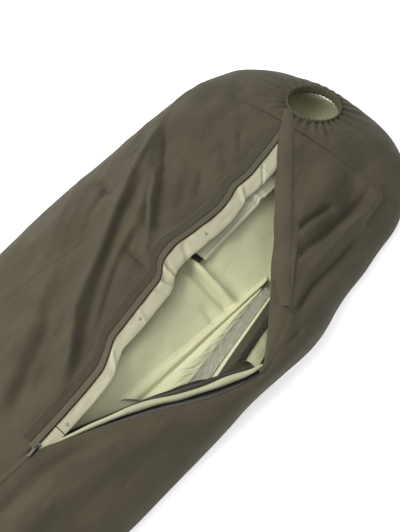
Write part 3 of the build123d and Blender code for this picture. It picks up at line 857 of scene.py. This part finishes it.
def storm_surface(u, v):
    along = mix(0.641, 0.072, u)
    return flap_point(along, mix(0.0128, flap_free_edge(along), v)) - Vector((0, 0, foot_sink(along)))


storm = sew(
    "storm_flap_cloth", 170, 22, storm_surface, (0.57, 0.055), 0.0022, ["storm_flap"],
    [storm_cloth, lining_cloth], body=None)
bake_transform(storm)


CREASE_OUT = (  # how far outward of the lip the fold lies that the storm flap's root makes in the cloth
    (-0.03, 0.034), (0.04, 0.0355), (0.14, 0.039), (0.256, 0.044), (0.368, 0.036), (0.475, 0.026),
    (0.56, 0.0185), (0.61, 0.0145), (0.69, 0.013))


def binding_surface(u, v):
    along = mix(0.655, -0.03, u)
    fold = rounded(CREASE_OUT, along, 0.03)
    taper = smooth((0.65 - along) / 0.12)
    out = mix(fold + 0.002 + 0.005 * taper, 0.0114, v)
    over = max(0.0, out - fold)
    rise = 0.0035 * bump(out, fold, 0.01) * taper - 1.9 * over ** 1.12 - 0.002 * (1 - taper) * (1 - v)
    return flap_point(along, out) + Vector((0, 0, rise - 0.0003))


sew(
    "storm_flap_root", 190, 26, binding_surface, (0.72, 0.031), 0.0014,
    ["storm_flap_binding"], [binding_cloth])


HEAD_PART = 0.0715


def storm_head_surface(u, v):
    """The storm flap's head end, sewn down over the end of the zip."""
    along = mix(HEAD_PART, -0.06, u)
    edge = mix(flap_free_edge(HEAD_PART), -0.02, smooth((HEAD_PART - along) / 0.13))
    return flap_point(along, mix(0.0128, edge, v))


sew("storm_flap_head_end", 40, 20, storm_head_surface, (0.13, 0.05), 0.0022, (), [storm_cloth])

# hook pads, sewn under the free edge of the storm flap
PAD_LENGTH = 0.062
PAD_COUNT = 5
for number in range(PAD_COUNT):
    def pad_surface(u, v, middle=mix(0.095, 0.61, number / (PAD_COUNT - 1))):
        along = middle + PAD_LENGTH * (0.5 - u)
        return flap_point(along, mix(-0.013, -0.033, v)) - Vector((0, 0, 0.0026 + foot_sink(along)))

    sew(f"hook_pad_{number + 1}", 26, 9, pad_surface, (PAD_LENGTH, 0.02), 0.0014,
        ["storm_flap_hooks"], [hook_pile], body="storm_flap")


# ---- the mouth's edge below the storm flap


def band_surface(u, v):
    """Olive edge of the mouth between the storm flap's foot end and the corner, sewn down flat."""
    x = mix(0.112, 0.352, u)
    outer = lip_point(x)
    fold = 0.022 * smooth((x - 0.105) / 0.16)
    tuck = 0.0018 * smooth((x - 0.325) / 0.02)
    outer = Vector((x + 0.5 * fold, outer.y - fold, outer.z + SKIN - 0.0015 - 0.2 * fold - tuck))
    inner = mouth_edge(x) + Vector((0, 0, 0.0035 - tuck))
    point = outer.lerp(inner, v)
    swell = 0.005 * math.sin(math.pi * min(1.0, v * 1.05)) + 0.003 * bump(v, 0.1, 0.1)
    point.z += swell * (1 - 0.75 * smooth((x - 0.255) / 0.09))
    point.z += 0.001 * noise.noise(point * 26)
    return point


sew("mouth_edge_band", 90, 18, band_surface, (0.28, 0.045), 0.0018, (), [storm_cloth, lining_cloth])


ROLL_LINE = (  # millimetres
    (-415, -147, 140), (-300, -190, 126), (-200, -232, 112), (-133, -268, 104), (-91, -302, 100), (-55, -322, 97),
    (-2, -353, 94), (48, -376, 92), (86, -398, 90), (121, -413, 89), (150, -420, 90))


@lru_cache(maxsize=None)
def roll_middle(x):
    y, z = (rounded([(knot[0] / 1000, knot[axis] / 1000) for knot in ROLL_LINE], x, 0.02) for axis in (1, 2))
    return Vector((x, y, z)).freeze()


def roll_centre(x):
    """The line that the turned lining rolls over between the corner and the zip's foot."""
    return roll_middle(x).copy()


def roll_surface(u, v):
    """Pale lining that rolls out over the mouth's edge: from inside the mouth, over the top and down outside."""
    x = mix(-0.415, 0.136, u)
    size = 0.0028 + 0.0062 * smooth((x + 0.42) / 0.25) * smooth((0.15 - x) / 0.09)
    size *= 1 + 0.12 * math.sin(x * 31)
    turn = mix(-0.3, 1.25, v) * math.pi
    point = roll_centre(x) + Vector((0, math.cos(turn) * size * 1.15, math.sin(turn) * size))
    point.y += 0.0012 * math.sin(x * 60) * math.sin(turn)
    if turn < 0:
        point.z -= 0.02 * smooth(-turn) * smooth((x + 0.42) / 0.2)
        point.y += 0.006 * smooth(-turn)
    return point


def gap_surface(u, v):
    """A dark sheet of hook pile hanging into the gap between the roll and the olive cloth: painted shade that stands
    in for the shadow in that gap.
    """
    x = mix(-0.42, 0.128, u)
    top = lip_point(x)
    inner = roll_centre(x)
    inside = smooth((x + 0.22) / 0.12) * smooth((0.125 - x) / 0.07)
    low = Vector((x, inner.y + 0.03 + 0.012 * inside, inner.z - 0.032 - 0.002 * inside))
    point = Vector((x, top.y + 0.002, top.z - 0.001)).lerp(low, v)
    point.z -= 0.01 * math.sin(math.pi * v)
    return point


# The roll wears the darker copy of the pale lining: painted shade.
sew(
    "turned_lining_roll", 190, 20, lambda u, v: roll_surface(1 - u, v), (0.62, 0.05), 0.001,
    (), [shaded_lining])
# A dark sheet in the gap under the roll: painted shade.
sew("gap_painted_shade_sheet", 120, 12, gap_surface, (0.62, 0.09), 0.0008, (), [hook_pile])

# ---- inner flap


def flap_crumple(x, share):
    """Creases that run across the inner flap where the zip's edge bends."""
    total = 0.0
    for place, slant, height, width in (
            (0.53, 0.03, 0.0045, 0.01), (0.47, -0.02, 0.0025, 0.014), (0.318, -0.03, 0.004, 0.01),
            (0.262, 0.028, -0.0035, 0.01), (0.186, 0.012, -0.006, 0.007), (0.17, 0.0, 0.0065, 0.006),
            (0.15, -0.012, -0.0055, 0.006), (0.134, -0.02, 0.0045, 0.006), (0.112, -0.02, -0.0028, 0.007),
            (0.628, 0.055, -0.004, 0.007), (0.02, 0.01, 0.0025, 0.008), (-0.125, 0.03, 0.0035, 0.012),
            (-0.06, -0.02, -0.002, 0.02)):
        total += 1.25 * height * bump(x + slant * (share - 0.5), place, width)
    return total * smooth(share / 0.25 + 0.15)


FREE_EDGE = (  # width of the inner flap on the plan
    (-0.36, 0.03), (-0.2, 0.032), (-0.12, 0.03), (-0.06, 0.034), (0.01, 0.041), (0.13, 0.042), (0.2, 0.046),
    (0.26, 0.049), (0.31, 0.047), (0.38, 0.044), (0.45, 0.041), (0.53, 0.041), (0.6, 0.04), (0.66, 0.046),
    (0.75, 0.042))


def inner_flap_point(x, share):
    """Point of the inner flap: share 0 at its root under the zip, 1 at its free edge."""
    edge = zip_point(x)
    width = rounded(FREE_EDGE, x, 0.012) - 0.004
    inward = 0.0008 + (width + 0.0032) * share
    droop = 0.0012 + 0.3 * inward + 0.9 * (width * max(0.0, share - 0.75)) ** 1.3
    point = edge + Vector((0, -inward, -droop))
    point.z += flap_crumple(x, share) + 0.0016 * noise_at(x * 24, share * 2, 6.0)
    point.x += 0.35 * flap_crumple(x, share)
    return point


def flap_strip(name, first, last, rows, nodes, body="sack"):
    def place(u, v):
        return inner_flap_point(mix(first, last, u), 1 - v)
    return sew(name, rows, 18, place, (abs(last - first) * 1.04, 0.046), 0.0011, nodes, [flap_cloth], body)


flap = flap_strip("inner_flap_cloth", -0.356, 0.6465, 420, ["inner_flap"], None)
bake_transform(flap)
flap_strip("inner_flap_head_cloth", 0.6472, 0.756, 60, ["inner_flap_head"])
flap_strip("inner_flap_foot_cloth", -0.435, -0.3585, 40, ())

# ---- snap studs


def snap_cap(name, centre, tilt, radius, thick):
    """A pressed snap cap: a domed disc with a rolled rim and a shallow dimple."""
    outline = (
        (0.0, thick * 0.62), (radius * 0.3, thick * 0.66), (radius * 0.42, thick * 0.95), (radius * 0.66, thick),
        (radius * 0.9, thick * 0.72), (radius, thick * 0.3), (radius * 0.93, 0.0), (0.0, 0.0))
    return lathe(name, outline, False, 28, tilt, ZIP_DIRECTION, centre)


FLAP_TILT = 0.29
for number, x, share, body, cap_node, post_node in (
        (1, -0.335, 0.55, "inner_flap", "stud_caps", "stud_posts"),
        (2, 0.012, 0.5, "inner_flap", "stud_caps", "stud_posts"),
        (3, 0.343, 0.52, "inner_flap", "stud_caps", "stud_posts"),
        ("head", 0.722, 0.42, "sack", "head_stud", "head_stud")):
    seat = inner_flap_point(x, share)
    cap = snap_cap(f"snap_cap_{number}", seat + Vector((0, 0, 0.0002)), FLAP_TILT, 0.0048, 0.0015)
    give(cap, body, [cap_node], [stud_metal])
    post = snap_cap(f"snap_post_{number}", seat - Vector((0, 0, 0.0012)), FLAP_TILT + math.pi, 0.0036, 0.0034)
    give(post, body, [post_node], [stud_metal])

# ---- the turned edge inside the mouth
# Lines along the turned edge from its foot end to its head end, in millimetres, the first nearest the zip.
TURNED_LINES = (
    ((-215, -150, 30), (420, -222, 22)),
    ((-180, -176, 36), (395, -240, 30)),
    ((-168, -186, 52), (383, -248, 48)),
    ((-150, -204, 51), (362, -251, 52)),
    ((-138, -216, 36), (345, -250, 42)),
    ((-124, -226, 53), (340, -255, 56)),
    ((-76, -256, 57), (350, -259, 60)),
    ((-6, -288, 44), (356, -262, 56)),
    ((30, -318, 48), (352, -288, 60)),
    ((78, -346, 54), (345, -312, 64)),
    ((132, -362, 52), (300, -345, 66)),
    ((140, -400, 36), (300, -368, 50)),
)


def share_of_line(number):
    return number / (len(TURNED_LINES) - 1)


def across_turned(share):
    """The line at that share of the way across, on a smooth curve through the written ones."""
    last = len(TURNED_LINES) - 1
    place = min(last - 0.001, max(0.0, share * last))
    first = int(place)
    t = place - first
    along = []
    for end in (0, 1):
        before, here, there, after = (
            Vector(mm / 1000 for mm in TURNED_LINES[min(last, max(0, first + step))][end]) for step in (-1, 0, 1, 2))
        along.append(0.5 * (
            2 * here + (there - before) * t + (2 * before - 5 * here + 4 * there - after) * t * t
            + (3 * here - before - 3 * there + after) * t * t * t))
    return along


def turned_point(u, share, gap=0.0):
    foot, head = across_turned(share)
    point = foot.lerp(head, u)
    point.z += 0.006 * math.sin(math.pi * u) * (0.4 + 0.6 * share)
    rest = floor_height(point.x, point.y) + 0.011 * smooth(share / 0.1) - 0.003 + 0.35 * (point.z - 0.05)
    point.z = max(point.z, rest) + 0.004 * math.exp(-abs(point.z - rest) / 0.006)
    point.z += 0.0022 * bump(share, share_of_line(6.6), 0.05) * noise_at(u * 26, share * 30, 4.0)
    point.z -= 0.0035 * bump(u + 0.4 * (share - 0.5), 0.215, 0.007) * bump(share, share_of_line(5.9), 0.05)
    point.z += 0.003 * noise_at(u * 5, share * 6, 2.0)
    point.z += 0.001 * noise_at(u * 17, share * 19, 8.0)
    return point + Vector((0, 0, gap))


sew(
    "turned_edge_cloth", 150, 150, lambda u, v: turned_point(u, 1 - v), (0.5, 0.26), CLOTH,
    ["turned_edge"], [lining_cloth, olive_cloth])


def turned_strip(name, first_line, last_line, gap, thickness, node, material, columns, size):
    def place(u, v):
        return turned_point(u, mix(share_of_line(last_line), share_of_line(first_line), v), gap)
    sew(name, 140, columns, place, size, thickness, [node], [material])


turned_strip("seam_seal", 6.75, 8.1, 0.0011, 0.0005, "seam_tape", seal_film, 12, (0.4, 0.03))
turned_strip(
    "turned_facing_cloth", 8.42, 10.0, 0.0018, 0.0012, "turned_facing", facing_cloth, 16, (0.36, 0.06))
turned_strip(
    "turned_hooks", 9.28, 10.0, 0.0036, 0.0015, "turned_hook_band", hook_pile, 10, (0.34, 0.022))

# ---- pocket strip and label
POCKET_RUN = (Vector((0.29, -0.07, 0.112)), Vector((0.7, -0.066, 0.116)))
POCKET_ACROSS = Vector((0.1, -1.0, 0)).normalized()
POCKET_LENGTH, POCKET_WIDTH = 0.395, 0.066


def pocket_point(along, inward):
    """Point of the pocket strip: metres from its foot end and inward of its sewn edge."""
    point = POCKET_RUN[0].lerp(POCKET_RUN[1], along / POCKET_LENGTH) - POCKET_ACROSS * 0.044 + POCKET_ACROSS * inward
    point.z += 0.014 - 0.26 * inward
    pinch = bump(along, 0.262, 0.01) - 0.7 * bump(along, 0.245, 0.008) + 0.5 * bump(along, 0.287, 0.01)
    point.z += 0.006 * pinch * smooth(inward / 0.02)
    point.y += 0.0035 * bump(along, 0.262, 0.014) * smooth(inward / 0.05)
    point.z += 0.0022 * noise_at(along * 13, inward * 22, 1.0)
    return point


def pocket_surface(u, v):
    return pocket_point(u * POCKET_LENGTH, mix(POCKET_WIDTH, 0.0, v))


sew(
    "pocket_strip_cloth", 200, 30, pocket_surface, (POCKET_LENGTH, POCKET_WIDTH), 0.0022,
    ["pocket_strip"], [pocket_cloth])


def label_surface(u, v):
    point = pocket_point(mix(-0.0165, 0.006, v), mix(0.021, 0.056, u))
    point.z -= 0.0034 + 0.1 * max(0.0, 0.5 - v) * 0.0165
    return point


sew("blank_label", 24, 12, label_surface, (0.035, 0.0225), 0.0008, ["label"], [label_weave])

# ---- seams, sockets, eyelets and pegging loops


def centre_seam_surface(u, v):
    x = mix(-1.118, -0.447, u)
    edge = zip_point(x)
    return Vector((x, edge.y + mix(-0.011, 0.011, v), edge.z - 0.0022))


sew(
    "centre_seam_seal", 90, 6, centre_seam_surface, (0.67, 0.022), 0.0005,
    ["centre_seam_tape"], [seal_film])


def crest_seam_surface(u, v):
    """Felled seam that closes the crest from the zip's foot to the foot end."""
    x = mix(-1.121, -0.452, u)
    edge = zip_point(x)
    return Vector((x, edge.y + mix(-0.007, 0.007, v), edge.z + SKIN + 0.0014 - 0.001 * abs(2 * v - 1)))


sew("crest_seam", 120, 6, crest_seam_surface, (0.67, 0.014), 0.0012, (), [binding_cloth])


SOCKET_OUTLINE = (  # the hollow half of a snap: a ring with a sprung rim
    (0.0018, 0.0), (0.0044, 0.0), (0.0048, 0.0006), (0.0044, 0.0013), (0.0034, 0.0021), (0.0024, 0.0022),
    (0.0018, 0.0012))
for number, x in enumerate((-0.335, 0.012, 0.343, 0.722), start=1):
    seat = over_right(x, 0.032, -0.0042)
    cup = lathe(f"snap_socket_{number}", SOCKET_OUTLINE, True, 24, math.pi, "X", seat)
    give(cup, "sack", ["stud_sockets"], [stud_metal])


def peg_loop(number, x, side):
    """A webbing loop sewn under the floor's edge: up from the floor, round and back."""
    slope = (half_width(x + 0.02) - half_width(x - 0.02)) / 0.04
    outward = Vector((-slope, side, 0)).normalized()
    along = Vector((outward.y, -outward.x, 0)) * side
    corner = Vector((x, side * half_width(x), 0))

    def place(u, v):
        turn = mix(-0.5, 0.5, u) * math.pi * 1.02
        reach = 0.001 + 0.019 * math.cos(turn) ** 0.7 if math.cos(turn) > 0 else 0.001
        height = 0.0058 + 0.0046 * math.sin(turn)
        return corner + outward * reach + along * mix(-0.011, 0.011, v) + Vector((0, 0, height))
    sew(f"peg_loop_{number}", 24, 8, place, (0.052, 0.022), 0.0014,
        ["peg_loops"], [webbing_cloth], offset=0.0)


for number, (x, side) in enumerate(((-1.05, 1), (-1.05, -1), (1.0, 1), (1.0, -1)), start=1):
    peg_loop(number, x, side)

for name, material in (
        ("hood_eyelets", stud_metal), ("zip_slider", slider_metal), ("zip_pull", slider_metal),
        ("zip_bottom_stop", slider_metal), ("zip_top_stops", slider_metal)):
    node = bpy.data.objects[name]
    node.data.materials.clear()
    node.data.materials.append(material)

# ---- floor, light and camera
ground = bmesh.new()
bmesh.ops.create_grid(ground, x_segments=2, y_segments=2, size=30.0)
studio_floor = made("studio_floor", ground)
studio_floor.data.materials.append(material_of("white_paper", lambda tree: {}, {
    "Base Color": (0.93, 0.93, 0.93, 1), "Roughness": 0.9, "Specular IOR Level": 0.1,
    "Emission Color": (1, 1, 1, 1), "Emission Strength": 0.4}))

AIM = Vector((0.245, -0.108, 0.15))
TOWARDS_KEY = Vector((-0.46, 0.52, 0.72))
lamp = bpy.data.lights.new("key_light", "AREA")
lamp.shape = "RECTANGLE"
lamp.size, lamp.size_y = 2.6, 2.6
lamp.energy = 160.0
lamp.color = (1.0, 0.985, 0.96)
light = bpy.data.objects.new("key_light", lamp)
light.location = AIM + TOWARDS_KEY * 4.0
light.rotation_euler = (AIM - light.location).to_track_quat("-Z", "Y").to_euler()
bpy.context.scene.collection.objects.link(light)
world = bpy.data.worlds.new("soft_studio")
world.use_nodes = True
world.node_tree.nodes["Background"].inputs["Color"].default_value = (0.98, 0.99, 1.0, 1)
world.node_tree.nodes["Background"].inputs["Strength"].default_value = 0.7
bpy.context.scene.world = world
bpy.context.scene.view_settings.view_transform = "Standard"

AZIMUTH, ELEVATION, DISTANCE = math.radians(-50.7), math.radians(57), 2.5
BACK = Vector((
    math.sin(AZIMUTH) * math.cos(ELEVATION), -math.cos(AZIMUTH) * math.cos(ELEVATION), math.sin(ELEVATION)))
lens = bpy.data.cameras.new("camera")
lens.sensor_fit = "VERTICAL"
lens.sensor_height = 36.0
lens.lens = 60.0
lens.clip_end = 60.0
camera = bpy.data.objects.new("camera", lens)
camera.location = AIM + BACK * DISTANCE
camera.rotation_euler = (-BACK).to_track_quat("-Z", "Y").to_euler()
bpy.context.scene.collection.objects.link(camera)
bpy.context.scene.camera = camera
